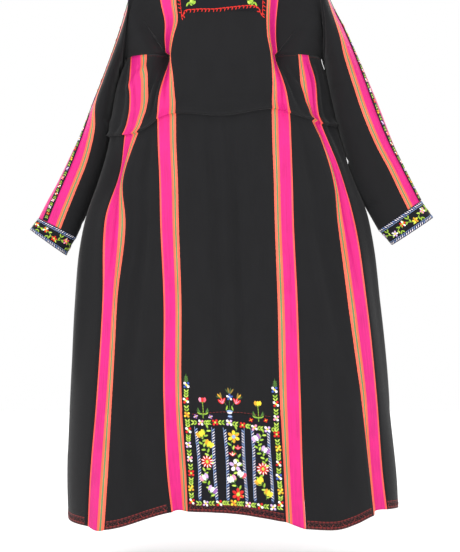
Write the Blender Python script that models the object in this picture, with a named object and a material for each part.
"""A long embroidered dress of striped cloth, filled out and hollow, held at the shoulders.

Units are metres, +Z up, and the front faces -Y. The origin is the middle of the shoulder line,
where the wearer carries the dress. "Left" is the side at -X, which a viewer in front sees on
the left.

Every piece is a thin slab of cloth, cut flat as a grid and then draped on one form, so
neighbours follow the same surface and keep the same small gap at each seam.

Round the dress a place is given by its seam number. 0 is the middle of the front, 1 and 2 are
the inner and outer edge of the front panel's woven stripe, 3 and 4 the same on the gore, 5 to 8
the same again behind, and 9 the middle of the back. The left side has the negative numbers.
Down the dress a place is given by its level: 0 the shoulder line, 1 the underarm, 2 the waist
tuck, 3 the hem.
"""

import bmesh
import bpy
import numpy as np

# Cloth and gaps
WALL = 0.0015
SEAM_GAP = 0.0003
UNDERARM_GAP = 0.0006
LIFT = 0.0004
TRIM_LIFT = 0.0009
TRIM_WALL = 0.001
CUFF_WALL = 0.002

# Cut widths
PANEL_HALF = 0.150
STRIPE = 0.041
UNDERARM_SIDE = 0.09
BAND_HALF = 0.0065

# Heights
SHOULDER_SLOPE = 0.30
UNDERARM_Z = -0.356
CHEST_PANEL_Z = -0.262
HEM_PANEL_LEVEL = 2.75

# Neck
NECK_HALF = 0.074
NECK_DROP_FRONT = 0.105
NECK_DROP_BACK = 0.022
BINDING = 0.007

# Curves of the plan and of the shoulder, 2 being an ellipse
PLAN_POWER = 2.5
SHOULDER_POWER = 2.5
SLEEVE_POWER = 2.2

UNDERARM, TUCK, HEM = 1.0, 2.0, 3.0
FRONT_CENTRE_EDGE, FRONT_GORE_EDGE, BACK_GORE_EDGE, BACK_CENTRE_EDGE, BACK = 2, 4, 5, 7, 9

# Reach of the body from the middle plane to each side, at each height
SECTION_COLUMNS = ("z", "left", "right", "front", "back")
SECTIONS = (
    (-0.356, 0.222, 0.2205, 0.118, 0.106),
    (-0.415, 0.2435, 0.234, 0.116, 0.104),
    (-0.472, 0.2545, 0.246, 0.114, 0.102),
    (-0.563, 0.266, 0.273, 0.117, 0.105),
    (-0.631, 0.286, 0.292, 0.120, 0.109),
    (-0.704, 0.313, 0.320, 0.123, 0.113),
    (-0.767, 0.328, 0.332, 0.126, 0.117),
    (-0.904, 0.342, 0.348, 0.134, 0.125),
    (-1.040, 0.349, 0.364, 0.140, 0.131),
    (-1.177, 0.354, 0.379, 0.144, 0.136),
    (-1.313, 0.357, 0.393, 0.148, 0.140),
    (-1.410, 0.354, 0.397, 0.150, 0.142),
)

# Where the edges of the woven stripes hang on the front, from side to side
SEAM_COLUMNS = ("z", "-2", "-1", "1", "2", "-4", "-3", "3", "4")
SEAMS = (
    (-0.050, -0.150, -0.109, 0.109, 0.150, -0.21, -0.17, 0.16, 0.19),
    (-0.150, -0.146, -0.107, 0.100, 0.132, -0.21, -0.17, 0.16, 0.19),
    (-0.242, -0.141, -0.106, 0.095, 0.120, -0.21, -0.17, 0.16, 0.19),
    (-0.286, -0.132, -0.103, 0.094, 0.116, -0.21, -0.17, 0.16, 0.19),
    (-0.319, -0.129, -0.112, 0.096, 0.116, -0.21, -0.17, 0.16, 0.19),
    (-0.356, -0.126, -0.120, 0.103, 0.120, -0.210, -0.172, 0.165, 0.189),
    (-0.407, -0.140, -0.113, 0.107, 0.132, -0.212, -0.170, 0.170, 0.204),
    (-0.484, -0.148, -0.107, 0.106, 0.146, -0.213, -0.174, 0.190, 0.217),
    (-0.550, -0.147, -0.106, 0.107, 0.149, -0.222, -0.199, 0.218, 0.237),
    (-0.638, -0.143, -0.102, 0.110, 0.152, -0.238, -0.227, 0.243, 0.268),
    (-0.726, -0.141, -0.100, 0.112, 0.154, -0.261, -0.217, 0.250, 0.292),
    (-0.902, -0.133, -0.094, 0.118, 0.162, -0.270, -0.235, 0.274, 0.319),
    (-1.122, -0.133, -0.093, 0.123, 0.168, -0.283, -0.246, 0.304, 0.342),
    (-1.298, -0.124, -0.082, 0.132, 0.172, -0.297, -0.252, 0.322, 0.357),
    (-1.410, -0.110, -0.078, 0.137, 0.178, -0.302, -0.258, 0.333, 0.373),
)

# Width of a gore behind, at each height
BACK_GORES = ((-0.356, 0.090), (-0.484, 0.092), (-0.800, 0.128), (-1.410, 0.190))

# Height of the waist tuck and of the hem round the dress, at each seam number
TUCK_LINE = (
    (-9, -0.500), (-7, -0.510), (-5, -0.530), (-4, -0.533), (-3, -0.530), (-2, -0.502), (-1, -0.489),
    (0, -0.494), (1, -0.479), (2, -0.488), (3, -0.502), (4, -0.509), (5, -0.512), (7, -0.505), (9, -0.500),
)
HEM_LINE = (
    (-9, -1.388), (-8, -1.376), (-7, -1.384), (-6, -1.398), (-5, -1.390), (-4, -1.405), (-3, -1.408),
    (-2, -1.368), (-1, -1.366), (0, -1.370), (1, -1.388), (2, -1.402), (2.5, -1.404), (3, -1.380),
    (4, -1.371), (5, -1.384), (6, -1.396), (7, -1.378), (8, -1.372), (9, -1.388),
)

# Folds: troughs have a depth below nought. The two reaches across are towards the front middle
# and away from it, in seam numbers, and the two along are up and down.
FOLD_COLUMNS = ("seam", "inward", "outward", "z", "up", "down", "depth")
FOLDS = (
    (-2.0, 1.0, 0.8, -0.352, 0.12, 0.11, -0.034),
    (2.0, 1.0, 0.9, -0.345, 0.12, 0.10, -0.028),
    (2.0, 1.0, 0.9, -0.225, 0.16, 0.12, -0.018),
    (-4.0, 1.0, 0.35, -0.62, 0.12, 0.11, -0.032),
    (3.7, 0.9, 0.80, -0.50, 0.10, 0.10, -0.012),
    (0.15, 0.9, 0.8, -0.70, 0.20, 0.45, -0.010),
    (-3.2, 1.1, 1.0, -1.44, 0.50, 0.10, 0.018),
    (-1.5, 1.0, 0.9, -1.44, 0.45, 0.10, -0.018),
    (2.4, 1.3, 0.9, -1.44, 0.50, 0.10, 0.018),
    (3.6, 0.6, 0.7, -1.44, 0.40, 0.10, -0.010),
    (-7.0, 0.8, 1.0, -0.350, 0.14, 0.13, -0.030),
    (7.0, 0.8, 1.0, -0.350, 0.13, 0.11, -0.028),
    (-6.2, 0.9, 0.8, -1.44, 0.55, 0.10, 0.018),
    (-7.6, 0.7, 0.9, -1.44, 0.50, 0.10, -0.018),
    (6.1, 0.9, 0.9, -1.44, 0.50, 0.10, 0.016),
    (7.7, 0.8, 0.8, -1.44, 0.55, 0.10, -0.017),
    (8.3, 0.8, 0.7, -0.72, 0.20, 0.40, -0.010),
)

# Stand-off of the cloth round the waist tuck, which is folded over the cloth below it
TUCK_LEDGE = ((1.88, 0.0), (1.97, 0.0035), (2.0, 0.0045), (2.0036, 0.0), (3.0, 0.0))

# Sections of each sleeve, from the armhole down: the outer and inner edge seen from the front,
# half the depth, the middle's place from front to back, and how far the top seam turns forward
SLEEVE_COLUMNS = ("outer x", "outer z", "inner x", "inner z", "half depth", "y", "turn")
LEFT_SLEEVE = (
    (0.184, -0.090, 0.2275, -0.3545, 0.084, 0.000, 0.000),
    (0.2140, -0.2213, 0.2310, -0.3590, 0.083, 0.002, -0.006),
    (0.2430, -0.3123, 0.2375, -0.3790, 0.076, 0.006, -0.020),
    (0.2776, -0.4033, 0.2500, -0.4190, 0.072, 0.012, -0.024),
    (0.2998, -0.4580, 0.2600, -0.4750, 0.068, 0.016, -0.024),
    (0.3208, -0.5080, 0.2670, -0.5353, 0.061, 0.020, 0.006),
    (0.3503, -0.5694, 0.2840, -0.6035, 0.052, 0.022, 0.013),
    (0.3799, -0.6308, 0.3030, -0.6680, 0.042, 0.022, 0.013),
    (0.4050, -0.6763, 0.3220, -0.7150, 0.033, 0.022, 0.013),
    (0.4255, -0.7160, 0.3405, -0.7590, 0.026, 0.022, 0.012),
)
RIGHT_SLEEVE = (
    (0.188, -0.085, 0.2265, -0.3545, 0.084, 0.000, 0.000),
    (0.2377, -0.2213, 0.2300, -0.3590, 0.090, -0.004, 0.008),
    (0.2700, -0.2830, 0.2310, -0.3680, 0.084, -0.008, 0.012),
    (0.3003, -0.3464, 0.2340, -0.3800, 0.076, -0.012, 0.012),
    (0.3253, -0.4033, 0.2420, -0.4300, 0.068, -0.014, 0.012),
    (0.3526, -0.4693, 0.2640, -0.5050, 0.060, -0.015, 0.013),
    (0.3799, -0.5398, 0.2870, -0.5740, 0.052, -0.015, 0.013),
    (0.4072, -0.5990, 0.3010, -0.6360, 0.043, -0.012, 0.012),
    (0.4277, -0.6399, 0.3210, -0.6800, 0.035, -0.010, 0.010),
    (0.4474, -0.6775, 0.3525, -0.7440, 0.028, -0.010, 0.008),
)

# Middle and bottom section of each cuff, in the same columns; its top is the sleeve's end
LEFT_CUFF = (
    (0.4360, -0.7300, 0.3520, -0.7810, 0.025, 0.022, 0.012),
    (0.4455, -0.7423, 0.3622, -0.8020, 0.026, 0.022, 0.012),
)
RIGHT_CUFF = (
    (0.4615, -0.6970, 0.3670, -0.7620, 0.027, -0.010, 0.008),
    (0.4750, -0.7163, 0.3815, -0.7787, 0.028, -0.010, 0.008),
)
SLEEVES = {"left": (-1, LEFT_SLEEVE, LEFT_CUFF), "right": (1, RIGHT_SLEEVE, RIGHT_CUFF)}

# How finely the forms are worked out before the cloth is draped on them
RING_POINTS = 721
SEAM_STEP = 0.05
LEVEL_STEPS = 90
LOFT_STEPS = 60
TANGENT_REACH = 0.001
END_SHARE = 0.06
LEAST_FACING = 0.5
SOON = 2.0
NUDGE = 0.25

# Grid lines of the pieces
CENTRE_SEAMS = (0.0, 0.23, 0.42, 0.58, 0.68, 0.908, 1.0, 1.5, 2.0)
GORE_SEAMS = (0.0, 0.25, 0.5, 0.75, 1.0, 1.5, 2.0)
SIDE_SEAMS = (0.0, 0.15, 0.35, 0.5, 0.65, 0.85, 1.0)
NECK_SEAM = 0.68
CHEST_PANEL_SEAM = 0.908
LEVELS_TO_TUCK = (1.0, 1.2, 1.4, 1.6, 1.76, 1.88, 1.97, 2.0)
LEVELS_TO_HEM = (2.0036, 2.06, 2.12, 2.19, 2.26, 2.34, 2.42, 2.5, 2.58, 2.67, 2.75, 2.82, 2.88, 2.94, 3.0)
NECK_SHARES = (0.0, 0.0225, 0.25, 0.5, 0.75)
CHEST_ROWS = 3
SLEEVE_ROWS = 23
CUFF_COLUMNS = 32
CUFF_ROWS = 3

CLOTH = (0.018, 0.017, 0.018)
FLOWER_GROUND = (0.012, 0.012, 0.022)


def smooth(knots, values, at):
    """A smooth curve through a table's column, level past both ends."""
    knots = np.asarray(knots, float)
    values = np.asarray(values, float)
    at = np.clip(np.asarray(at, float), knots[0], knots[-1])
    slopes = np.gradient(values, knots, axis=0)
    low = np.clip(np.searchsorted(knots, at, side="right") - 1, 0, len(knots) - 2)
    span = knots[low + 1] - knots[low]
    part = (at - knots[low]) / span
    if values.ndim > 1:
        span, part = span[:, None], part[:, None]
    rise = values[low + 1] - values[low]
    swing = part * (1 - part)
    ease = part * part * (3 - 2 * part)
    return values[low] + ease * rise + swing * span * ((1 - part) * slopes[low] - part * slopes[low + 1])


def by_height(rows, column, z):
    """One column of a table whose first column is the height, read at the heights z."""
    table = np.array(sorted(rows))
    return smooth(table[:, 0], table[:, column], z)


def by_seam(rows, seam):
    """The height of a line that runs round the dress, at the given seam numbers."""
    table = np.array(rows)
    return smooth(table[:, 0], table[:, 1], seam)


def bump(distance, before, after):
    """1 in the middle of a fold, falling softly to 0 at its reach on each side."""
    reach = np.where(distance < 0, before, after)
    part = np.clip(np.abs(distance) / reach, 0, 1)
    return 0.5 + 0.5 * np.cos(np.pi * part)


def folds(seam, z):
    """How far the cloth stands out of, or into, the plain form."""
    total = np.zeros_like(z)
    for middle, inward, outward, height, up, down, depth in FOLDS:
        before, after = (inward, outward) if middle > 0 else (outward, inward)
        across = bump(seam - middle, before, after)
        total = total + depth * across * bump(z - height, down, up)
    return total


def plan_ring(z):
    """The body's outline at one height, from the back middle round by the left to the back again."""
    left, right, front, back = (float(by_height(SECTIONS, column, z)) for column in (1, 2, 3, 4))
    turn = np.linspace(-np.pi, np.pi, RING_POINTS)
    sine, cosine = np.sin(turn), np.cos(turn)
    power = 2 / PLAN_POWER
    x = (right - left) / 2 + (right + left) / 2 * np.sign(sine) * np.abs(sine) ** power
    depth = np.where(cosine > 0, front, back)
    y = -depth * np.sign(cosine) * np.abs(cosine) ** power
    return x, y


def seam_places(z, x, y):
    """How far along the ring each seam number lies."""
    along = np.concatenate(([0], np.cumsum(np.hypot(np.diff(x), np.diff(y)))))
    quarter = RING_POINTS // 4
    front = slice(quarter, RING_POINTS - quarter)
    places = {}
    for column, name in enumerate(SEAM_COLUMNS[1:], start=1):
        places[int(name)] = np.interp(by_height(SEAMS, column, z), x[front], along[front])
    places[0] = (places[-1] + places[1]) / 2
    gore = float(by_height(BACK_GORES, 1, z))
    outer = PANEL_HALF + gore
    back_seams = {9: 0.0, 8: PANEL_HALF - STRIPE, 7: PANEL_HALF, 6: outer - STRIPE, 5: outer}
    for name, distance in back_seams.items():
        places[name] = along[-1] - distance
        places[-name] = distance
    names = sorted(places)
    return along, names, [places[name] for name in names]


def body_form():
    """The body below the underarm, as a grid of points: levels down, seam numbers across."""
    seams = np.arange(-BACK, BACK + SEAM_STEP / 2, SEAM_STEP)
    levels = np.linspace(UNDERARM, HEM, LEVEL_STEPS + 1)
    heights = np.linspace(SECTIONS[0][0], SECTIONS[-1][0], LEVEL_STEPS + 1)
    rings = np.empty((len(heights), len(seams), 2))
    for row, z in enumerate(heights):
        x, y = plan_ring(z)
        along, names, places = seam_places(z, x, y)
        wanted = np.interp(seams, names, places)
        x_at, y_at = np.interp(wanted, along, x), np.interp(wanted, along, y)
        tangent = np.array([np.gradient(x_at), np.gradient(y_at)])
        tangent /= np.hypot(*tangent)
        out = folds(seams, np.full_like(seams, z))
        rings[row] = np.stack([x_at + tangent[1] * out, y_at - tangent[0] * out], axis=-1)
    tuck, hem = by_seam(TUCK_LINE, seams), by_seam(HEM_LINE, seams)
    points = np.empty((len(levels), len(seams), 3))
    for row, level in enumerate(levels):
        if level <= TUCK:
            z = UNDERARM_Z + (tuck - UNDERARM_Z) * (level - UNDERARM)
        else:
            z = tuck + (hem - tuck) * (level - TUCK)
        place = (z - heights[0]) / (heights[-1] - heights[0]) * LEVEL_STEPS
        low = np.clip(place.astype(int), 0, LEVEL_STEPS - 1)
        part = (place - low)[:, None]
        columns = np.arange(len(seams))
        points[row, :, :2] = rings[low, columns] * (1 - part) + rings[low + 1, columns] * part
        points[row, :, 2] = z
    return points


def shoulder_height(x):
    """The shoulder line, sloping down from the neck."""
    return -SHOULDER_SLOPE * np.maximum(np.abs(x) - NECK_HALF / 2, 0)


def chest_form(body, sign):
    """A middle panel from the shoulder line to the underarm, in front for sign -1, behind for 1."""
    seams = np.arange(-2, 2 + SEAM_STEP / 2, SEAM_STEP)
    base = read_form(body, np.zeros(len(seams)), body_column(seams if sign < 0 else behind(seams)))
    levels = np.linspace(0, UNDERARM, LEVEL_STEPS + 1)
    power = 2 / SHOULDER_POWER
    points = np.empty((len(levels), len(seams), 3))
    table = np.array(sorted(SEAMS))
    names = np.array([-2, -1, 1, 2])
    for row, level in enumerate(levels):
        turn = (UNDERARM - level) * np.pi / 2
        z = UNDERARM_Z + (shoulder_height(seams * PANEL_HALF / 2) - UNDERARM_Z) * np.sin(turn) ** power
        if sign < 0:
            edges = np.stack([smooth(table[:, 0], table[:, column], z) for column in (1, 2, 3, 4)])
            x = np.array([np.interp(seam, names, edges[:, i]) for i, seam in enumerate(seams)])
        else:
            plain = PANEL_HALF - STRIPE
            cut = np.interp(seams, names, [-PANEL_HALF, -plain, plain, PANEL_HALF])
            x = base[:, 0] + (cut - base[:, 0]) * (UNDERARM - level)
        flat = base[:, 1] - sign * folds(seams if sign < 0 else behind(seams), np.full_like(z, UNDERARM_Z))
        y = flat * np.cos(turn) ** power
        y = y + sign * folds(seams if sign < 0 else behind(seams), z) * np.cos(turn) ** power
        points[row] = np.stack([x, y, z], axis=-1)
    return points


def behind(seams):
    """Seam numbers behind for places across the back panel, which run from -2 to 2."""
    return np.where(seams >= 0, BACK - seams, -BACK - seams)


def body_column(seams):
    return (np.asarray(seams, float) + BACK) / SEAM_STEP


def read_form(form, row, column):
    """Points between those of a form's grid."""
    rows, columns = form.shape[:2]
    row = np.clip(np.asarray(row, float), 0, rows - 1.000001)
    column = np.clip(np.asarray(column, float), 0, columns - 1.000001)
    r, c = row.astype(int), column.astype(int)
    y, x = (row - r)[:, None], (column - c)[:, None]
    upper = form[r, c] * (1 - x) + form[r, c + 1] * x
    lower = form[r + 1, c] * (1 - x) + form[r + 1, c + 1] * x
    return upper * (1 - y) + lower * y


def raised(form, row, column, height, sign):
    """Points of a form moved out along its normal."""
    row, column = np.asarray(row, float), np.asarray(column, float)
    edge_row, edge_column = form.shape[0] - 1 - 2 * NUDGE, form.shape[1] - 1 - 2 * NUDGE
    r = np.clip(row - NUDGE, 0, edge_row)
    c = np.clip(column - NUDGE, 0, edge_column)
    down = read_form(form, r + 2 * NUDGE, column) - read_form(form, r, column)
    across = read_form(form, row, c + 2 * NUDGE) - read_form(form, row, c)
    normal = sign * np.cross(across, down)
    normal /= np.linalg.norm(normal, axis=1)[:, None]
    return read_form(form, row, column) + normal * np.asarray(height)[:, None]


def ledge(level):
    table = np.array(TUCK_LEDGE)
    return np.interp(level, table[:, 0], table[:, 1])


BODY = body_form()
CHEST = {-1: chest_form(BODY, -1), 1: chest_form(BODY, 1)}


def drape_body(seam, level, depth):
    """Cloth on the body below the underarm."""
    row = (level - UNDERARM) / (HEM - UNDERARM) * LEVEL_STEPS
    return raised(BODY, row, body_column(seam), depth + ledge(level), -1)


def drape_middle(sign):
    """Cloth on the middle panel, from the shoulder to the hem, in front for sign -1."""
    def place(seam, level, depth):
        round_seam = seam if sign < 0 else behind(seam)
        low = drape_body(round_seam, np.maximum(level, UNDERARM), depth)
        row, column = level / UNDERARM * LEVEL_STEPS, (seam + 2) / SEAM_STEP
        high = raised(CHEST[sign], row, column, depth, sign)
        return np.where((level < UNDERARM)[:, None], high, low)
    return place


def sleeve_section(side, row, distances):
    """Points round one section of a sleeve, by their distance from its top seam, forward being more.

    The distances are a function of half the section's length. Gives the way out at each point too."""
    outer_x, outer_z, inner_x, inner_z, depth, y, turn = row
    middle = np.array([side * (outer_x + inner_x) / 2, y, (outer_z + inner_z) / 2])
    reach = np.array([side * (outer_x - inner_x) / 2, 0, (outer_z - inner_z) / 2])
    angle = np.linspace(-3 * np.pi, 3 * np.pi, 3 * RING_POINTS)
    power = 2 / SLEEVE_POWER
    out = np.sign(np.cos(angle)) * np.abs(np.cos(angle)) ** power
    forward = np.sign(np.sin(angle)) * np.abs(np.sin(angle)) ** power
    curve = middle + out[:, None] * reach + forward[:, None] * np.array([0, -depth, 0])
    along = np.concatenate(([0], np.cumsum(np.linalg.norm(np.diff(curve, axis=0), axis=1))))
    wanted = np.interp(0, angle, along) + turn + distances(along[-1] / 6)

    def read(places):
        return np.transpose([np.interp(places, along, curve[:, axis]) for axis in range(3)])

    points = read(wanted)
    tangent = unit(read(wanted + TANGENT_REACH) - read(wanted - TANGENT_REACH))
    way = points - middle
    return points, unit(way - tangent * np.sum(way * tangent, axis=1)[:, None])


def unit(vectors):
    return vectors / np.linalg.norm(vectors, axis=1)[:, None]


def armhole(side, sign):
    """Half of the armhole: the panel's edge down from the shoulder, then the tops of the side pieces.

    Gives its points and the way that the cloth beside each of them faces."""
    levels = middle_levels(np.array([side * 2.0]), 0)[:len(NECK_SHARES) + CHEST_ROWS + 1, 0]
    panel = drape_middle(sign)
    edge_seam = np.full(len(levels), side * (2 - SEAM_GAP / 2 / STRIPE))
    edge = panel(edge_seam, levels, np.zeros(len(levels)))
    edge_out = unit(panel(edge_seam, levels, np.full(len(levels), WALL)) - edge)
    starts = (FRONT_CENTRE_EDGE, FRONT_GORE_EDGE) if sign < 0 else (BACK_CENTRE_EDGE, BACK_GORE_EDGE)
    stations = [starts[0] - sign * s for s in GORE_SEAMS[1:]]
    stations += [starts[1] - sign * s for s in SIDE_SEAMS[1:4]]
    stations[-1] += sign * UNDERARM_GAP / UNDERARM_SIDE
    seams = side * np.array(stations)
    ones = np.ones(len(seams))
    bottom = drape_body(seams, ones, 0 * ones)
    bottom_out = unit(drape_body(seams, ones, WALL * ones) - bottom)
    edge[:, 0] += side * SEAM_GAP
    edge[-1, 2] += SEAM_GAP
    bottom[:, 2] += SEAM_GAP
    return np.concatenate([edge, bottom]), np.concatenate([edge_out, bottom_out])


def loft(sections):
    """A smooth surface through a list of sections with equal counts of points."""
    rows = np.linspace(0, len(sections) - 1, LOFT_STEPS + 1)
    stack = np.array(sections)
    knots = np.arange(len(sections))
    return np.stack([smooth(knots, stack[:, i], rows) for i in range(stack.shape[1])], axis=1)


def half_sleeve(side, sign, rows):
    """Half a sleeve from the top seam to the underarm seam, with its grid lines across as columns."""
    hole, facing = armhole(side, sign)
    near = np.array([SEAM_GAP / 2, BAND_HALF, STRIPE / 2, STRIPE])

    def distances(half):
        rest = np.linspace(STRIPE, half - SEAM_GAP, len(hole) - len(near) + 1)[1:]
        return -sign * np.concatenate([near, rest])

    sections = [(hole, facing)] + [sleeve_section(side, row, distances) for row in rows]
    return [loft(part) for part in zip(*sections)]


def past(row, gap):
    """A section moved along the sleeve, across its seam."""
    outer_x, outer_z, inner_x, inner_z = row[:4]
    width = np.hypot(outer_x - inner_x, outer_z - inner_z)
    x, z = gap * (outer_z - inner_z) / width, -gap * (outer_x - inner_x) / width
    return (outer_x + x, outer_z + z, inner_x + x, inner_z + z) + tuple(row[4:])


def sleeve_facing(points, section_facing):
    """The way out of a whole sleeve's surface, for its front and back half at once.

    At both ends it turns to the way of the seam there, which the neighbour's wall follows too."""
    tube = np.concatenate([points[-1][:, ::-1], points[1]], axis=1)
    seam_way = np.concatenate([section_facing[-1][:, ::-1], section_facing[1]], axis=1)
    across = np.roll(tube, -1, axis=1) - np.roll(tube, 1, axis=1)
    normal = np.cross(across, np.gradient(tube, axis=0))
    normal *= np.sign(np.sum(normal * seam_way))
    normal /= np.linalg.norm(normal, axis=2)[..., None]
    half = points[-1].shape[1]
    for one, other in ((half - 1, half), (0, -1)):
        both = unit(normal[:, one] + normal[:, other])
        normal[:, one] = normal[:, other] = both
    rows = np.arange(LOFT_STEPS + 1)
    inside = np.clip(np.minimum(rows, LOFT_STEPS - rows) / (END_SHARE * LOFT_STEPS), 0, 1)[:, None, None]
    way = seam_way * (1 - inside) + normal * inside
    lack = np.clip(LEAST_FACING - np.sum(way * normal, axis=2), 0, None)[..., None]
    way = way + normal * lack * np.clip(SOON * inside, 0, 1)
    way /= np.linalg.norm(way, axis=2)[..., None]
    return {-1: way[:, :half][:, ::-1], 1: way[:, half:]}


def cuff_form(side, rows):
    """A closed band from the top seam, forward first."""
    def distances(half):
        return np.linspace(0, 2 * half, CUFF_COLUMNS + 1)

    sections = [sleeve_section(side, row, distances) for row in rows]
    return [loft(part) for part in zip(*sections)]


def drape_loft(points, facing):
    """Cloth on a sleeve or a cuff, moved out along the way that each section faces."""
    def place(across, down, depth):
        row = down * LOFT_STEPS
        return read_form(points, row, across) + unit(read_form(facing, row, across)) * depth[:, None]
    return place


def slab(name, columns, rows, place, wall=WALL, lift=0.0, ring=False):
    """Cuts a flat grid of cloth, gives it its wall, and drapes each of its points."""
    mesh = bmesh.new()
    across, down = columns.shape[-1] - 1, len(rows) - 1
    bmesh.ops.create_grid(mesh, x_segments=across, y_segments=down, size=0.5)
    cloth = bmesh.ops.extrude_face_region(mesh, geom=mesh.faces[:])
    for vert in [item for item in cloth["geom"] if isinstance(item, bmesh.types.BMVert)]:
        vert.co.z = -1
    if ring:
        for vert in mesh.verts:
            vert.co.x = 0.5 if vert.co.x < -0.5 + 0.1 / across else vert.co.x
        bmesh.ops.remove_doubles(mesh, verts=mesh.verts, dist=1e-6)
        inner_walls = [face for face in mesh.faces if len(set(v.co.x for v in face.verts)) == 1]
        bmesh.ops.delete(mesh, geom=inner_walls, context="FACES")
    flat = np.array([vert.co for vert in mesh.verts])
    i = np.rint((flat[:, 0] + 0.5) * across).astype(int)
    j = np.rint((0.5 - flat[:, 1]) * down).astype(int)
    spread = rows[j] if rows.ndim == 1 else rows[j, i]
    spots = place(columns[i] if columns.ndim == 1 else columns[j, i], spread, lift + flat[:, 2] * wall)
    for vert, spot in zip(mesh.verts, spots):
        vert.co = spot
    bmesh.ops.triangulate(mesh, faces=mesh.faces, quad_method="SHORT_EDGE")
    bmesh.ops.recalc_face_normals(mesh, faces=mesh.faces)
    if mesh.calc_volume(signed=True) < 0:
        bmesh.ops.reverse_faces(mesh, faces=mesh.faces)
    data = bpy.data.meshes.new(name)
    mesh.to_mesh(data)
    mesh.free()
    data.shade_smooth()
    return bpy.data.objects.new(name, data)


def cloth_material(name, colour, roughness):
    material = bpy.data.materials.new(name)
    material.use_nodes = True
    shader = material.node_tree.nodes["Principled BSDF"]
    shader.inputs["Base Color"].default_value = (*colour, 1)
    shader.inputs["Roughness"].default_value = roughness
    shader.inputs["Metallic"].default_value = 0.0
    return material


def finish(piece, collection, colour=CLOTH, roughness=0.85):
    piece.data.materials.append(cloth_material(piece.name, colour, roughness))
    collection.objects.link(piece)


def mirrored(columns):
    return np.array([-value for value in columns[:0:-1]] + list(columns))


def gapped(seams, levels, place):
    """Grid of seam numbers whose first and last stand half a seam's gap inside the piece."""
    grid = np.tile(np.asarray(seams, float), (len(levels), 1))
    flat = np.zeros(len(levels))
    for edge, way in ((0, 1), (-1, -1)):
        at = grid[:, edge].copy()
        step = place(at + way * SEAM_STEP, levels, flat) - place(at, levels, flat)
        grid[:, edge] += way * SEAM_GAP / 2 * SEAM_STEP / np.linalg.norm(step, axis=1)
    return grid


def hang_level(hang):
    """Level of a place that hangs so far below the shoulder line."""
    return UNDERARM - np.arcsin((1 + hang / UNDERARM_Z) ** (SHOULDER_POWER / 2)) / (np.pi / 2)


def neck_level(seam, drop):
    """Level at which a middle panel starts, lower across the neck."""
    part = np.clip(np.abs(seam) / NECK_SEAM, 0, 1)
    return hang_level(drop * np.sqrt(1 - part * part))


def middle_levels(seams, drop):
    """Grid of levels of a middle panel: neck, chest panel's edge, underarm, tuck and hem."""
    shoulder_gap = SEAM_GAP / 2 / -UNDERARM_Z
    start = neck_level(seams, drop) + shoulder_gap
    chest = np.full(len(seams), hang_level(-CHEST_PANEL_Z))
    upper = [start + (chest - start) * share for share in NECK_SHARES]
    lower = [chest + (UNDERARM - chest) * k / CHEST_ROWS for k in range(CHEST_ROWS)]
    rest = [np.full(len(seams), level) for level in LEVELS_TO_TUCK + LEVELS_TO_HEM]
    return np.array(upper + lower + rest)


def make_middle(collection):
    seams = mirrored(CENTRE_SEAMS)
    for name, sign, drop in (("centre_front", -1, NECK_DROP_FRONT), ("centre_back", 1, NECK_DROP_BACK)):
        levels = middle_levels(seams, drop)
        place = drape_middle(sign)
        finish(slab(name, gapped(seams, levels[:, 0], place), levels, place), collection)


def make_chest_panel(collection):
    seams = np.array([s for s in mirrored(CENTRE_SEAMS) if abs(s) <= CHEST_PANEL_SEAM])
    levels = middle_levels(seams, NECK_DROP_FRONT)[:len(NECK_SHARES) + 1]
    piece = slab("chest_panel", seams, levels, drape_middle(-1), wall=TRIM_WALL, lift=TRIM_LIFT + TRIM_WALL)
    finish(piece, collection, FLOWER_GROUND)


def make_hem_panel(collection):
    seams = np.array([s for s in mirrored(CENTRE_SEAMS) if abs(s) <= 1])
    levels = np.array([level for level in LEVELS_TO_HEM if level >= HEM_PANEL_LEVEL])
    piece = slab("hem_panel", seams, levels, drape_middle(-1), wall=TRIM_WALL, lift=TRIM_LIFT + TRIM_WALL)
    finish(piece, collection, FLOWER_GROUND)


def make_sides(collection):
    levels = np.array(LEVELS_TO_TUCK + LEVELS_TO_HEM)
    front = FRONT_CENTRE_EDGE + np.array(GORE_SEAMS)
    side = FRONT_GORE_EDGE + np.array(SIDE_SEAMS)
    back = BACK_CENTRE_EDGE - np.array(GORE_SEAMS)
    for hand, way in (("left", -1), ("right", 1)):
        for name, seams in (("front_gore", front), ("side_panel", side), ("back_gore", back)):
            ordered = np.sort(way * seams)
            piece = slab(f"{name}_{hand}", gapped(ordered, levels, drape_body), levels, drape_body)
            finish(piece, collection)


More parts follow.
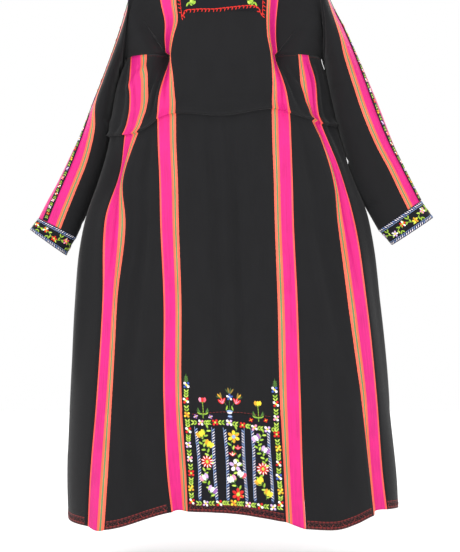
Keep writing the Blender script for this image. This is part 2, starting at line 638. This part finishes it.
def make_sleeves(collection):
    down = np.linspace(0, 1, SLEEVE_ROWS + 1)
    for hand, (side, rows, cuff_rows) in SLEEVES.items():
        forms = {sign: half_sleeve(side, sign, rows) for sign in (-1, 1)}
        points = {sign: form[0] for sign, form in forms.items()}
        facing = sleeve_facing(points, {sign: form[1] for sign, form in forms.items()})
        halves = {sign: drape_loft(points[sign], facing[sign]) for sign in (-1, 1)}
        for name, sign in (("front", -1), ("back", 1)):
            across = np.arange(points[sign].shape[1])
            finish(slab(f"sleeve_{name}_{hand}", across, down, halves[sign]), collection)

        def over_top(across, along, depth, halves=halves):
            front, back = (halves[sign](np.abs(across), along, depth) for sign in (-1, 1))
            side_point = np.where((across > 0)[:, None], front, back)
            return np.where((across == 0)[:, None], (front + back) / 2, side_point)

        ribbon = slab(f"sleeve_band_{hand}", np.array([-1, 0, 1]), down, over_top,
                      wall=TRIM_WALL, lift=TRIM_LIFT + TRIM_WALL)
        finish(ribbon, collection, FLOWER_GROUND)
        turns, along = np.arange(CUFF_COLUMNS + 1), np.linspace(0, 1, CUFF_ROWS + 1)
        ringed = drape_loft(*cuff_form(side, (past(rows[-1], SEAM_GAP),) + cuff_rows))
        cuff = slab(f"cuff_{hand}", turns, along, ringed, wall=CUFF_WALL, ring=True)
        finish(cuff, collection, FLOWER_GROUND)


def make_neck_binding(collection):
    """A narrow binding that edges both middle panels round the neck."""
    half = np.array([seam for seam in mirrored(CENTRE_SEAMS) if abs(seam) <= NECK_SEAM])
    seams = np.concatenate([half, half[-2::-1]])
    ahead = np.arange(len(seams)) < len(half)

    def place(number, width, depth):
        number = np.rint(number).astype(int)
        seam, front = seams[number], ahead[number]
        part = seam / NECK_SEAM
        drop = np.where(front, NECK_DROP_FRONT, NECK_DROP_BACK) - width
        level = hang_level(drop * np.sqrt(1 - part * part))
        inward = seam * (1 - width / NECK_HALF)
        before, after = (drape_middle(sign)(inward, level, depth) for sign in (-1, 1))
        return np.where(front[:, None], before, after)

    numbers, widths = np.arange(len(seams)), np.array([SEAM_GAP, BINDING])
    ring = slab("neck_binding", numbers, widths, place, lift=LIFT, ring=True)
    finish(ring, collection)


def main():
    for thing in list(bpy.data.objects):
        bpy.data.objects.remove(thing)
    collection = bpy.data.collections.new("palestinian_thobe_dress")
    bpy.context.scene.collection.children.link(collection)
    make_middle(collection)
    make_sides(collection)
    make_chest_panel(collection)
    make_hem_panel(collection)
    make_sleeves(collection)
    make_neck_binding(collection)


main()
